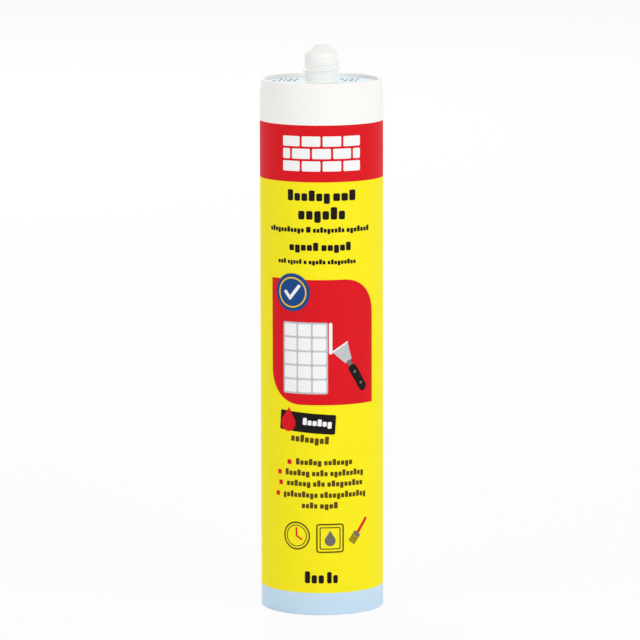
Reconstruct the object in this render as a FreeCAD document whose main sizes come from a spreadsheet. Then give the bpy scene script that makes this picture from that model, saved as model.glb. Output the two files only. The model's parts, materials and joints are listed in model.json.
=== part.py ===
# A full sealant cartridge, standing on its open rear rim with the nozzle thread up.
#
# It has three pieces. The cartridge body is one moulding: a thin barrel, a head with a raised rim
# and a shallow recess, and a hollow threaded neck that is closed by a blunt cone, which is cut off
# before use. The piston is a cup with two sealing lips and gusset ribs that slides in the barrel.
# The sealant is the paste between the piston and the head, and it fills the neck too.
#
# The frame: millimetres, +Z from the rear rim to the tip, origin on the axis at the rear rim,
# and the printed front towards -Y.
import FreeCAD, Part
import os

import Sketcher

PARTS_FOLDER = "parts"
TOUCH = 0.001

# Driving dimensions: name, value and what it is.
SIZES = [
    ("barrel_length", 216.6, "rear rim to head rim"),
    ("barrel_od", 50.0, "outside of the printed barrel"),
    ("barrel_wall", 1.6, "wall round the bore that the piston slides in"),
    ("mouth_wall", 1.45, "wall round the wider bore, where the piston was put in"),
    ("mouth_depth", 8.0, "length of the wider bore"),
    ("mouth_taper", 1.5, "length of the lead-in from the wider bore"),
    ("rear_edge_round", 0.5, "rounding outside the rear rim"),
    ("collar_inset", 0.4, "how far the plain collar round the head lies inside the barrel's outside"),
    ("collar_height", 3.9, "collar, from the step to the head rim"),
    ("step_rise", 1.0, "height of the sloping step below the collar"),
    ("rim_width", 1.3, "raised rim round the head's recess"),
    ("rim_round", 0.4, "rounding of the head rim's edges"),
    ("recess_depth", 1.4, "head rim down to the recess floor"),
    ("head_thickness", 2.0, "wall between the recess and the sealant"),
    ("bore_corner", 1.5, "bevel where the bore meets the head"),
    ("neck_dia", 13.4, "neck at the root of the thread"),
    ("neck_height", 14.0, "head rim up to the tip"),
    ("neck_wall", 2.4, "wall round the channel in the neck"),
    ("neck_foot_round", 0.6, "fillet between the neck and the recess floor"),
    ("cone_height", 3.6, "blunt cone that closes the neck"),
    ("cone_flat", 5.2, "flat on top of the cone"),
    ("cone_wall", 1.7, "thickness of the closed tip"),
    ("cone_round", 0.4, "rounding of the cone's two edges"),
    ("thread_ridge", 0.9, "height of the nozzle thread's crest over the neck"),
    ("thread_sink", 0.05, "how far the ridge's foot is sunk in the neck"),
    ("thread_pitch", 2.25, "rise of the thread in one turn"),
    ("thread_height", 4.6, "recess floor to the ridge's middle, at the neck's left side"),
    ("lower_start_angle", -25.0, "degrees from the left side to the lower ridge's start"),
    ("lower_turns", 0.75, "turns of the lower ridge"),
    ("upper_start_angle", 55.0, "degrees from the left side to the upper ridge's start"),
    ("upper_turns", 0.6, "turns of the upper ridge, which starts one turn above the lower"),
    ("thread_root_width", 1.7, "thread ridge where it leaves the neck"),
    ("thread_crest_width", 0.7, "flat on top of the thread ridge"),
    ("fill_length", 163.1, "sealant between the piston and the head: 280 ml with the neck"),
    ("fill_clearance", 0.05, "gap between the sealant and the wall round it"),
    ("piston_height", 21.0, "piston, front face to rear edge"),
    ("piston_clearance", 0.05, "radial running clearance of the two lips"),
    ("piston_relief", 0.8, "depth of the waist between the lips"),
    ("rear_lip_height", 3.0, "straight part of the rear lip"),
    ("front_lip_height", 2.2, "straight part of the front lip"),
    ("lip_slope", 1.2, "height of each slope between a lip and the waist"),
    ("front_bevel", 1.3, "bevel round the front face"),
    ("skirt_wall", 1.5, "wall of the skirt at the waist"),
    ("crown_thickness", 1.8, "wall behind the front face"),
    ("rib_count", 8.0, "gusset ribs in the cup's corner"),
    ("rib_thickness", 1.2, "each rib"),
    ("rib_height", 6.0, "each rib, down the skirt from the crown"),
    ("rib_reach", 4.6, "each rib, inwards along the crown from the skirt"),
    ("skirt_edge_round", 0.4, "rounding of the skirt's rear edge"),
]

doc = FreeCAD.newDocument("SealantCartridge")

# Sheet cells hold the driving dimensions, and each expression below names them.
sheet = doc.addObject("Spreadsheet::Sheet", "Sizes")
for row, (alias, value, meaning) in enumerate(SIZES, start=1):
    sheet.set(f"A{row}", alias)
    sheet.set(f"B{row}", str(value))
    sheet.setAlias(f"B{row}", alias)
    sheet.set(f"C{row}", meaning)
doc.recompute()


def size(name):
    """The sheet's value of one driving dimension, as a plain number."""
    return float(sheet.get(name))


def cell(name, share=1):
    """An expression for one cell, or for that share of it."""
    return f"Sizes.{name}" if share == 1 else f"Sizes.{name} * {share}"


# Levels and radii that several pieces share, as expressions.
HEAD_RIM = cell("barrel_length")
RECESS_FLOOR = f"{HEAD_RIM} - Sizes.recess_depth"
HEAD_INSIDE = f"{RECESS_FLOOR} - Sizes.head_thickness"
TIP = f"{HEAD_RIM} + Sizes.neck_height"
TIP_INSIDE = f"{TIP} - Sizes.cone_wall"
CONE_FOOT = f"{TIP} - Sizes.cone_height"
SEALANT_REAR = f"{HEAD_INSIDE} - Sizes.fill_length"
PISTON_REAR = f"{SEALANT_REAR} - Sizes.piston_height"
BARREL_RADIUS = cell("barrel_od", 0.5)
BORE_RADIUS = f"{BARREL_RADIUS} - Sizes.barrel_wall"
MOUTH_RADIUS = f"{BARREL_RADIUS} - Sizes.mouth_wall"
COLLAR_RADIUS = f"{BARREL_RADIUS} - Sizes.collar_inset"
RECESS_RADIUS = f"{COLLAR_RADIUS} - Sizes.rim_width"
NECK_RADIUS = cell("neck_dia", 0.5)
CHANNEL_RADIUS = f"{NECK_RADIUS} - Sizes.neck_wall"
CONE_FLAT_RADIUS = cell("cone_flat", 0.5)
# The channel's end follows the cone: as steep, and as far inside it all round.
CONE_SLOPE = f"(({NECK_RADIUS} - {CONE_FLAT_RADIUS}) / Sizes.cone_height)"
CHANNEL_END_RADIUS = f"{CONE_FLAT_RADIUS} * ({CHANNEL_RADIUS}) / ({NECK_RADIUS})"
CHANNEL_SHOULDER = f"{TIP_INSIDE} - ({CHANNEL_RADIUS} - {CHANNEL_END_RADIUS}) / {CONE_SLOPE}"


def new_body(name):
    """A PartDesign body whose label names its file."""
    body = doc.addObject("PartDesign::Body", name)
    body.Label = name
    return body


def origin_plane(body, role):
    """One of the body's own origin planes."""
    return next(item for item in body.Origin.OriginFeatures if item.Role == role)


def add_sketch(body, name, role):
    """An empty sketch on one of the body's origin planes."""
    sketch = body.newObject("Sketcher::SketchObject", name)
    sketch.AttachmentSupport = [(origin_plane(body, role), "")]
    sketch.MapMode = "FlatFace"
    return sketch


def add_outline(body, name, role, corners):
    """A closed sketch of straight lines whose corners are pairs of expressions.

    A corner whose expression is "0" is held on the sketch's own axis.
    """
    sketch = add_sketch(body, name, role)
    places = [
        FreeCAD.Vector(float(sheet.evalExpression(x)), float(sheet.evalExpression(y)), 0)
        for x, y in corners
    ]
    for index, place in enumerate(places):
        following = places[(index + 1) % len(places)]
        sketch.addGeometry(Part.LineSegment(place, following), False)
    for index in range(len(corners)):
        following = (index + 1) % len(corners)
        sketch.addConstraint(Sketcher.Constraint("Coincident", index, 2, following, 1))
    for index, (x, y) in enumerate(corners):
        for kind, axis, expression, value in (
            ("DistanceX", -2, x, places[index].x),
            ("DistanceY", -1, y, places[index].y),
        ):
            if expression == "0":
                sketch.addConstraint(Sketcher.Constraint("PointOnObject", index, 1, axis))
                continue
            number = sketch.addConstraint(Sketcher.Constraint(kind, -1, 1, index, 1, value))
            sketch.setExpression(f"Constraints[{number}]", expression)
    return sketch


def revolve(body, name, sketch):
    """The sketch turned once round the body's Z axis."""
    feature = body.newObject("PartDesign::Revolution", name)
    feature.Profile = sketch
    feature.ReferenceAxis = (sketch, ["V_Axis"])
    feature.Angle = 360.0
    doc.recompute()
    return feature


def ring_edges(shape, radius, height):
    """Names of the full circles round the Z axis at that radius and height."""
    found = []
    for number, edge in enumerate(shape.Edges, start=1):
        curve = edge.Curve
        if (
            isinstance(curve, Part.Circle)
            and abs(curve.Radius - radius) < TOUCH
            and abs(curve.Center.z - height) < TOUCH
        ):
            found.append(f"Edge{number}")
    return found


def fillet_rings(body, name, base, radius_cell, rings):
    """Rounds the edges of base that lie at the given pairs of radius and height expressions."""
    edges = []
    for radius, height in rings:
        found = ring_edges(
            base.Shape,
            float(sheet.evalExpression(radius)),
            float(sheet.evalExpression(height)),
        )
        if not found:
            raise RuntimeError(f"{name}: no edge at radius {radius}, height {height}")
        edges += found
    feature = body.newObject("PartDesign::Fillet", name)
    feature.Base = (base, edges)
    feature.setExpression("Radius", cell(radius_cell))
    doc.recompute()
    return feature


def make_cartridge_body():
    """Barrel, head and closed threaded neck in one moulding."""
    body = new_body("cartridge_body")
    step_foot = f"{HEAD_RIM} - Sizes.collar_height - Sizes.step_rise"
    step_top = f"{HEAD_RIM} - Sizes.collar_height"
    section = [
        (MOUTH_RADIUS, "0"),
        (BARREL_RADIUS, "0"),
        (BARREL_RADIUS, step_foot),
        (COLLAR_RADIUS, step_top),
        (COLLAR_RADIUS, HEAD_RIM),
        (RECESS_RADIUS, HEAD_RIM),
        (RECESS_RADIUS, RECESS_FLOOR),
        (NECK_RADIUS, RECESS_FLOOR),
        (NECK_RADIUS, CONE_FOOT),
        (CONE_FLAT_RADIUS, TIP),
        ("0", TIP),
        ("0", TIP_INSIDE),
        (CHANNEL_END_RADIUS, TIP_INSIDE),
        (CHANNEL_RADIUS, CHANNEL_SHOULDER),
        (CHANNEL_RADIUS, HEAD_INSIDE),
        (f"{BORE_RADIUS} - Sizes.bore_corner", HEAD_INSIDE),
        (BORE_RADIUS, f"{HEAD_INSIDE} - Sizes.bore_corner"),
        (BORE_RADIUS, "Sizes.mouth_depth + Sizes.mouth_taper"),
        (MOUTH_RADIUS, "Sizes.mouth_depth"),
    ]
    shell = revolve(body, "Shell", add_outline(body, "ShellSection", "XZ_Plane", section))
    rear = fillet_rings(body, "RearEdge", shell, "rear_edge_round", [(BARREL_RADIUS, "0")])
    rim = fillet_rings(
        body,
        "HeadRimEdges",
        rear,
        "rim_round",
        [(COLLAR_RADIUS, HEAD_RIM), (RECESS_RADIUS, HEAD_RIM)],
    )
    foot = fillet_rings(
        body, "NeckFoot", rim, "neck_foot_round", [(NECK_RADIUS, RECESS_FLOOR)]
    )
    fillet_rings(
        body,
        "ConeEdges",
        foot,
        "cone_round",
        [(NECK_RADIUS, CONE_FOOT), (CONE_FLAT_RADIUS, TIP)],
    )
    add_ridge(body, "LowerRidge", "lower_start_angle", "lower_turns", 0)
    add_ridge(body, "UpperRidge", "upper_start_angle", "upper_turns", 1)
    return body


def add_ridge(body, name, start, turns, full_turns):
    """One length of the right-hand nozzle thread, a trapezoid ridge wound round the neck.

    It starts at an angle from the neck's left side, on the helix that the whole thread follows.
    """
    lead = f"Sizes.thread_pitch * ({full_turns} + Sizes.{start} / 360)"
    middle = f"{RECESS_FLOOR} + Sizes.thread_height + {lead}"
    root = f"-({NECK_RADIUS} - Sizes.thread_sink)"
    crest = f"-({NECK_RADIUS} + Sizes.thread_ridge)"
    outline = [
        (root, f"{middle} - Sizes.thread_root_width * 0.5"),
        (root, f"{middle} + Sizes.thread_root_width * 0.5"),
        (crest, f"{middle} + Sizes.thread_crest_width * 0.5"),
        (crest, f"{middle} - Sizes.thread_crest_width * 0.5"),
    ]
    sketch = add_outline(body, f"{name}Outline", "XZ_Plane", outline)
    turn = FreeCAD.Rotation(FreeCAD.Vector(0, 1, 0), size(start))
    sketch.AttachmentOffset = FreeCAD.Placement(FreeCAD.Vector(), turn)
    sketch.setExpression("AttachmentOffset.Rotation.Angle", cell(start))
    ridge = body.newObject("PartDesign::AdditiveHelix", name)
    ridge.Profile = sketch
    ridge.ReferenceAxis = (sketch, ["V_Axis"])
    ridge.Mode = "pitch-turns-angle"
    ridge.LeftHanded = False
    ridge.Reversed = False
    ridge.setExpression("Pitch", cell("thread_pitch"))
    ridge.setExpression("Turns", cell(turns))
    doc.recompute()


def make_sealant():
    """The paste: it fills the barrel from the piston to the head, and the neck's channel."""
    body = new_body("sealant")
    body.setExpression("Placement.Base.z", SEALANT_REAR)
    length = cell("fill_length")
    paste_radius = f"{BORE_RADIUS} - Sizes.fill_clearance"
    plug_radius = f"{CHANNEL_RADIUS} - Sizes.fill_clearance"
    plug_end_radius = f"{CHANNEL_END_RADIUS} - Sizes.fill_clearance"
    top = f"{length} - Sizes.fill_clearance"
    section = [
        ("0", "0"),
        (paste_radius, "0"),
        (paste_radius, f"{top} - Sizes.bore_corner"),
        (f"{paste_radius} - Sizes.bore_corner", top),
        (plug_radius, top),
        (plug_radius, f"{CHANNEL_SHOULDER} - ({SEALANT_REAR}) - Sizes.fill_clearance"),
        (plug_end_radius, f"{TIP_INSIDE} - ({SEALANT_REAR}) - Sizes.fill_clearance"),
        ("0", f"{TIP_INSIDE} - ({SEALANT_REAR}) - Sizes.fill_clearance"),
    ]
    revolve(body, "Paste", add_outline(body, "PasteSection", "XZ_Plane", section))
    return body


def make_piston():
    """A cup, open to the rear, with two lips outside and gusset ribs in its corner."""
    body = new_body("piston")
    body.setExpression("Placement.Base.z", PISTON_REAR)
    lip = f"{BORE_RADIUS} - Sizes.piston_clearance"
    waist = f"{lip} - Sizes.piston_relief"
    cup = f"{waist} - Sizes.skirt_wall"
    front = cell("piston_height")
    front_lip_top = f"{front} - Sizes.front_bevel"
    front_lip_foot = f"{front_lip_top} - Sizes.front_lip_height"
    roof = f"{front} - Sizes.crown_thickness"
    section = [
        (cup, "0"),
        (lip, "0"),
        (lip, "Sizes.rear_lip_height"),
        (waist, "Sizes.rear_lip_height + Sizes.lip_slope"),
        (waist, f"{front_lip_foot} - Sizes.lip_slope"),
        (lip, front_lip_foot),
        (lip, front_lip_top),
        (f"{lip} - Sizes.front_bevel", front),
        ("0", front),
        ("0", roof),
        (cup, roof),
    ]
    shell = revolve(body, "Cup", add_outline(body, "CupSection", "XZ_Plane", section))
    fillet_rings(body, "SkirtEdge", shell, "skirt_edge_round", [(cup, "0"), (lip, "0")])
    add_ribs(body, cup, roof)
    return body


def add_ribs(body, cup, roof):
    """Three-cornered ribs between the crown and the skirt, each sunk a little into both."""
    outer = f"{cup} + Sizes.skirt_wall * 0.5"
    top = f"{roof} + Sizes.crown_thickness * 0.5"
    corners = [
        (f"{cup} - Sizes.rib_reach", roof),
        (cup, f"{roof} - Sizes.rib_height"),
        (outer, f"{roof} - Sizes.rib_height"),
        (outer, top),
        (f"{cup} - Sizes.rib_reach", top),
    ]
    sketch = add_outline(body, "RibOutline", "XZ_Plane", corners)
    half_pitch = "180 / Sizes.rib_count"
    turn = FreeCAD.Rotation(FreeCAD.Vector(0, 1, 0), float(sheet.evalExpression(half_pitch)))
    sketch.AttachmentOffset = FreeCAD.Placement(FreeCAD.Vector(), turn)
    sketch.setExpression("AttachmentOffset.Rotation.Angle", half_pitch)
    rib = body.newObject("PartDesign::Pad", "Rib")
    rib.Profile = sketch
    rib.SideType = "Symmetric"
    rib.setExpression("Length", cell("rib_thickness"))
    doc.recompute()
    ribs = body.newObject("PartDesign::PolarPattern", "Ribs")
    ribs.Originals = [rib]
    ribs.Axis = (sketch, ["V_Axis"])
    ribs.Angle = 360.0
    ribs.setExpression("Occurrences", cell("rib_count"))
    body.Tip = ribs
    doc.recompute()


def check_document():
    """Stops if any object of the document failed to compute."""
    for item in doc.Objects:
        if {"Invalid", "Error"} & set(item.State):
            raise RuntimeError(f"{item.Label} failed: {item.State}")


def write_parts(bodies):
    """Writes each piece to its own STEP file and prints its size and volume."""
    os.makedirs(PARTS_FOLDER, exist_ok=True)
    for body in bodies:
        shape = body.Shape
        if shape.isNull() or not shape.isValid() or len(shape.Solids) != 1:
            raise RuntimeError(f"{body.Label} is not one valid solid")
        shape.exportStep(os.path.join(PARTS_FOLDER, f"{body.Label}.step"))
        box = shape.optimalBoundingBox(False)
        print(
            f"{body.Label}: {box.XLength:.2f} x {box.YLength:.2f} x {box.ZLength:.2f} mm,"
            f" z {box.ZMin:.2f} to {box.ZMax:.2f}, {shape.Volume / 1000:.2f} ml"
        )


bodies = [make_cartridge_body(), make_sealant(), make_piston()]
doc.recompute()
check_document()
write_parts(bodies)
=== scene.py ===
import itertools
import json
import math
import random

import bpy
from bpy.props import FloatProperty, FloatVectorProperty, PointerProperty
from mathutils import Euler, Matrix, Vector


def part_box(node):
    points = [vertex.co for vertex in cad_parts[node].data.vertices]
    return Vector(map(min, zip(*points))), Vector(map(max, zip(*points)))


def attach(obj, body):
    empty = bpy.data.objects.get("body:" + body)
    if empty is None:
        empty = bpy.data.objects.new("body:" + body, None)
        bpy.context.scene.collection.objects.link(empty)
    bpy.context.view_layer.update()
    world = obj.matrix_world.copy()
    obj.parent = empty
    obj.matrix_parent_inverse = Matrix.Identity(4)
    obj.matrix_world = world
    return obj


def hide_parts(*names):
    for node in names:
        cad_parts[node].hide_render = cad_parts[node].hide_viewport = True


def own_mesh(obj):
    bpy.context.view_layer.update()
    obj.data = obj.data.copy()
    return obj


bl_info = {
    "name": "Sealant Cartridge",
    "version": (1, 0, 0),
    "blender": (4, 5, 0),
    "location": "3D View > Sidebar > Cartridge",
    "description": "Models and finishes a full sealant cartridge around its packed frame",
    "category": "Add Mesh",
}

FRONT = 0.0
BACK = math.pi

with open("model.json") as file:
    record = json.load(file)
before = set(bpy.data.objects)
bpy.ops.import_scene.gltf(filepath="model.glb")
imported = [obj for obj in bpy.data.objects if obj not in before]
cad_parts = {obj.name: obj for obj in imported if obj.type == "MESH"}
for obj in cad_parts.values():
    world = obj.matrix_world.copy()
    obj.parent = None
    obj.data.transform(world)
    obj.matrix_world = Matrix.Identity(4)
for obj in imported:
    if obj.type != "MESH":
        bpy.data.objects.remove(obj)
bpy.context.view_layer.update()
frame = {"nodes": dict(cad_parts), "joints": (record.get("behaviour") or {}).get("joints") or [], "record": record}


def mm(value):
    """Millimetres as metres."""
    return value * 0.001


def srgb(red, green, blue):
    """A colour as screens give it, 0 to 255, turned into the linear values that shaders take."""
    shares = [value / 255 for value in (red, green, blue)]
    linear = [s / 12.92 if s <= 0.04045 else ((s + 0.055) / 1.055) ** 2.4 for s in shares]
    return (*linear, 1.0)


def mount(name):
    """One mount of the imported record."""
    return next(item for item in frame["record"]["mounts"] if item["name"] == name)


BARREL = mount("barrel")
REAR_MOUTH = mount("rear_mouth")
PISTON_SLIDE = next(item for item in frame["joints"] if item["name"] == "piston_slide")
BODY_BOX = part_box("cartridge_body")
PASTE_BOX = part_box("sealant")
# Places closer than this are taken as one.
NEAR = mm(0.01)


def length(name, description, default):
    """A length that can be set, in metres."""
    return FloatProperty(
        name=name, description=description, default=default, min=0.0, unit="LENGTH", precision=5
    )


def angle(name, description, default):
    """An angle that can be set, written in degrees."""
    return FloatProperty(
        name=name, description=description, default=math.radians(default), subtype="ANGLE"
    )


def colour(name, description, default):
    """A colour that can be set."""
    return FloatVectorProperty(
        name=name, description=description, default=default, subtype="COLOR", size=4, min=0.0, max=1.0
    )


class CartridgeSizes(bpy.types.PropertyGroup):
    """Sizes of the moulded body and of the bands of its print."""

    barrel_radius: length("Barrel", "Outside of the barrel", mm(BARREL["dims"]["r_mm"]))
    barrel_wall: length("Wall", "Wall of the barrel", mm(1.6))
    mouth_radius: length("Mouth", "Wider bore at the rear", mm(REAR_MOUTH["dims"]["r_mm"]))
    mouth_depth: length("Mouth depth", "Length of the wider bore", mm(REAR_MOUTH["dims"]["length_mm"]))
    mouth_taper: length("Mouth taper", "Lead-in from the wider bore", mm(1.5))
    rear_round: length("Rear rounding", "Rounding outside the rear rim", mm(0.5))
    rim_level: length("Rim level", "Height of the head rim", mount("head_rim")["pos_m"][2])
    tip_level: length("Tip level", "Height of the closed tip", BODY_BOX[1].z)
    collar_inset: length("Collar inset", "Collar inside the barrel's outside", mm(0.4))
    collar_height: length("Collar", "Plain collar below the rim", mm(3.9))
    step_rise: length("Step", "Sloping step below the collar", mm(1.0))
    rim_width: length("Rim width", "Raised rim round the recess", mm(1.3))
    rim_round: length("Rim rounding", "Rounding of the rim's edges", mm(0.4))
    recess_depth: length("Recess", "Rim down to the recess floor", mm(1.4))
    head_thickness: length("Head", "Wall under the recess", mm(2.0))
    bore_corner: length("Bore corner", "Bevel inside the head", mm(1.5))
    neck_radius: length("Neck", "Neck at the thread's root", mm(6.7))
    neck_wall: length("Neck wall", "Wall round the channel", mm(2.4))
    neck_foot_round: length("Neck foot", "Fillet at the neck's foot", mm(0.6))
    cone_height: length("Cone", "Blunt cone on the neck", mm(3.6))
    cone_flat_radius: length("Cone flat", "Flat on top of the cone", mm(2.6))
    cone_wall: length("Tip wall", "Thickness of the closed tip", mm(1.7))
    cone_round: length("Cone rounding", "Rounding of the cone's edges", mm(0.4))
    thread_ridge: length("Ridge", "Height of the thread's crest", mm(0.9))
    thread_pitch: length("Pitch", "Rise of the thread in a turn", mm(2.25))
    thread_height: length("Thread level", "Recess floor to the thread's middle", mm(4.6))
    thread_root: length("Ridge root", "Width of the ridge at the neck", mm(1.7))
    thread_crest: length("Ridge crest", "Flat on top of the ridge", mm(0.7))
    paste_gap: length("Paste gap", "Gap between the paste and its wall", mm(0.05))
    yellow_foot: length("Yellow from", "Lower edge of the yellow band", mm(9.2))
    red_foot: length("Red from", "Lower edge of the red band", mm(177.0))
    red_top: length("Red to", "Upper edge of the red band", mm(199.9))
    ink_layer: length("Ink layer", "Step from one layer of print to the next", mm(0.05))


class CartridgeColours(bpy.types.PropertyGroup):
    """Colours of the inks and plastics, and of the cool shades painted on the plastic."""

    red: colour("Red", "Red ink", srgb(222, 20, 32))
    yellow: colour("Yellow", "Yellow ink", srgb(252, 238, 28))
    black: colour("Black", "Black ink", srgb(22, 18, 16))
    white: colour("White", "White ink", srgb(248, 248, 248))
    blue: colour("Blue", "Blue ink", srgb(26, 74, 138))
    gold: colour("Gold", "Deep yellow ink", srgb(240, 196, 50))
    grey: colour("Grey", "Grey ink", srgb(196, 197, 203))
    steel: colour("Steel", "Dark grey ink", srgb(112, 112, 108))
    brown: colour("Brown", "Dark brown ink", srgb(92, 74, 22))
    code: colour("Code", "Faint grey-blue ink", srgb(126, 146, 164))
    plastic: colour("Plastic", "Moulded white polyethylene", srgb(250, 249, 245))
    # Painted shade: this pale blue stands for the cool shade on the bare plastic near the rear rim, not for a
    # colour of the plastic itself.
    foot_painted_shade: colour("Foot", "The same plastic near the rear rim", srgb(199, 224, 245))
    # Painted shade: this cyan tint stands for the cool shade and reflection in the head's recess, not for a colour
    # of the plastic itself.
    recess: colour("Recess", "The same plastic on the recess floor", srgb(226, 243, 248))
    piston: colour("Piston", "Natural polyethylene", srgb(222, 230, 232))
    paste: colour("Paste", "White paste", srgb(244, 244, 240))


class CartridgeStudio(bpy.types.PropertyGroup):
    """Camera and lamps."""

    distance: length("Distance", "Camera to the barrel's axis", 1.883)
    height: length("Height", "Camera above the floor", 0.400)
    aside: FloatProperty(
        name="Aside", description="Camera to the right of the barrel's axis", default=mm(-0.75),
        unit="LENGTH", precision=5,
    )
    pitch: angle("Pitch", "How far the camera looks down", 8.53)
    roll: angle("Roll", "How far the camera leans", -0.125)
    lens: FloatProperty(name="Lens", description="Focal length in millimetres", default=262.69)
    key: FloatProperty(name="Key", description="Right front lamp in watts", default=32.0, min=0.0)
    fill: FloatProperty(name="Fill", description="Left lamp in watts", default=8.0, min=0.0)
    back: FloatProperty(name="Back", description="Rear lamp in watts", default=18.0, min=0.0)
    ambient: FloatProperty(name="Ambient", description="World light", default=0.60, min=0.0)


class Signal:
    """A shader socket that Python's operators work on through Math nodes."""

    def __init__(self, finish, socket):
        self.finish = finish
        self.socket = socket

    def math(self, operation, first, second):
        """A Math node on two values or signals."""
        settings = {"operation": operation}
        return self.finish.node("ShaderNodeMath", settings, {0: first, 1: second})

    def __add__(self, other):
        return self.math("ADD", self, other)

    __radd__ = __add__

    def __sub__(self, other):
        return self.math("SUBTRACT", self, other)

    def __rsub__(self, other):
        return self.math("SUBTRACT", other, self)

    def __mul__(self, other):
        return self.math("MULTIPLY", self, other)

    __rmul__ = __mul__


class Finish:
    """The nodes of one material, or of the world."""

    def __init__(self, tree):
        self.tree = tree

    def node(self, kind, settings=None, inputs=None, output=0):
        """Adds a node with its settings and then its inputs, and returns one of its outputs."""
        node = self.tree.nodes.new(kind)
        for name, value in (settings or {}).items():
            if name == "stops":
                self.fill_ramp(node.color_ramp, value)
            else:
                setattr(node, name, value)
        self.feed(node, inputs or {})
        return Signal(self, node.outputs[output])

    def feed(self, node, inputs):
        """Sets or links sockets of a node, by name or number."""
        for name, value in inputs.items():
            if isinstance(value, Signal):
                self.tree.links.new(value.socket, node.inputs[name])
            else:
                node.inputs[name].default_value = value

    @staticmethod
    def fill_ramp(ramp, stops):
        """Gives a ramp its stops, each a place and a colour."""
        for index, (place, shade) in enumerate(stops):
            element = ramp.elements[index] if index < 2 else ramp.elements.new(place)
            element.position = place
            element.color = shade

    def place(self):
        """The point on the piece, in metres."""
        return self.node("ShaderNodeTexCoord", output="Object")

    def height(self):
        """The point's height above the rear rim, in metres."""
        return self.node("ShaderNodeSeparateXYZ", inputs={"Vector": self.place()}, output="Z")

    def noise(self, grain, detail=2.0):
        """Soft noise whose features are about that far apart, in metres."""
        inputs = {"Vector": self.place(), "Scale": 1 / grain, "Detail": detail}
        return self.node("ShaderNodeTexNoise", inputs=inputs, output="Fac")

    def blend(self, share, first, second):
        """A colour between two colours."""
        inputs = {0: share, 6: first, 7: second}
        return self.node("ShaderNodeMix", {"data_type": "RGBA"}, inputs, output=2)

    def bump(self, height, distance, strength=0.4):
        """A normal from a height signal."""
        inputs = {"Height": height, "Distance": distance, "Strength": strength}
        return self.node("ShaderNodeBump", inputs=inputs, output="Normal")


def new_material(name, sockets):
    """A material whose main shader gets the given sockets from a function of its finish."""
    material = bpy.data.materials.new(name)
    material.use_nodes = True
    finish = Finish(material.node_tree)
    finish.feed(material.node_tree.nodes["Principled BSDF"], sockets(finish))
    return material


def shaded(shade, share):
    """A colour a little darker."""
    return tuple(value * share for value in shade[:3]) + (1.0,)


def ink(name):
    """Glossy ink of one colour, a thin even film with a trace of mottle."""
    known = bpy.data.materials.get(f"ink_{name}")
    if known:
        return known
    shade = getattr(bpy.context.scene.cartridge_colours, name)

    def sockets(finish):
        mottle = finish.noise(mm(9), 3.0)
        grain = finish.noise(mm(0.35))
        return {
            "Base Color": finish.blend(mottle, shaded(shade, 0.95), shade),
            "Roughness": 0.50 + grain * 0.10,
            "Specular IOR Level": 0.1,
            "Normal": finish.bump(grain, mm(0.01)),
        }

    return new_material(f"ink_{name}", sockets)


def moulded_plastic(name, shade, painted_shade_colour):
    """Moulded polyethylene, satin and a little translucent, with painted cool shade near the rear rim."""
    painted_shade_top = 3 * bpy.context.scene.cartridge_sizes.yellow_foot

    def sockets(finish):
        cloud = finish.noise(mm(14), 3.0)
        grain = finish.noise(mm(0.5))
        # Painted shade: the ramp gives the plastic the shade colour from the rear rim up to 0.4 of that height,
        # fading back to its own colour by 0.8 of it.
        stops = [(0.4, (1, 1, 1, 1)), (0.8, (0, 0, 0, 1))]
        level = finish.height() * (1 / painted_shade_top)
        foot_painted_shade = finish.node("ShaderNodeValToRGB", {"stops": stops}, {"Fac": level})
        even = finish.blend(cloud, shaded(shade, 0.965), shade)
        return {
            "Base Color": finish.blend(foot_painted_shade, even, painted_shade_colour),
            "Roughness": 0.36 + grain * 0.12,
            "Specular IOR Level": 0.3,
            "Subsurface Weight": 0.12,
            "Subsurface Scale": mm(3),
            "Normal": finish.bump(grain, mm(0.02)),
        }

    return new_material(name, sockets)


def piston_plastic():
    """Natural polyethylene, satin with faint flow marks."""
    colours = bpy.context.scene.cartridge_colours

    def sockets(finish):
        flow = finish.noise(mm(6), 4.0)
        grain = finish.noise(mm(0.4))
        return {
            "Base Color": finish.blend(flow, shaded(colours.piston, 0.92), colours.piston),
            "Roughness": 0.42 + grain * 0.15,
            "Subsurface Weight": 0.2,
            "Subsurface Scale": mm(2),
            "Normal": finish.bump(grain, mm(0.02)),
        }

    return new_material("natural_plastic", sockets)


def paste_surface():
    """Smooth white paste with faint folds."""
    known = bpy.data.materials.get("white_paste")
    if known:
        return known
    colours = bpy.context.scene.cartridge_colours

    def sockets(finish):
        fold = finish.noise(mm(5), 4.0)
        return {
            "Base Color": finish.blend(fold, shaded(colours.paste, 0.94), colours.paste),
            "Roughness": 0.32 + fold * 0.12,
            "Normal": finish.bump(fold, mm(0.15)),
        }

    return new_material("white_paste", sockets)


def start_piece(name):
    """A new, empty mesh object at the origin, left in edit mode."""
    bpy.ops.object.select_all(action="DESELECT")
    bpy.ops.mesh.primitive_plane_add()
    piece = bpy.context.object
    piece.name = piece.data.name = name
    bpy.ops.object.mode_set(mode="EDIT")
    bpy.ops.mesh.delete(type="VERT")
    return piece


def pick(piece, test, part="vertices"):
    """Selects, in edit mode, the vertices or faces that pass a test."""
    bpy.ops.mesh.select_mode(type="VERT" if part == "vertices" else "FACE")
    bpy.ops.mesh.select_all(action="DESELECT")
    bpy.ops.object.mode_set(mode="OBJECT")
    for item in getattr(piece.data, part):
        item.select = test(item)
    bpy.ops.object.mode_set(mode="EDIT")


def apply_modifier(piece, kind, **settings):
    """Adds a modifier to a piece in object mode and applies it."""
    modifier = piece.modifiers.new(kind, kind)
    for name, value in settings.items():
        setattr(modifier, name, value)
    bpy.ops.object.modifier_apply(modifier=modifier.name)


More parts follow.
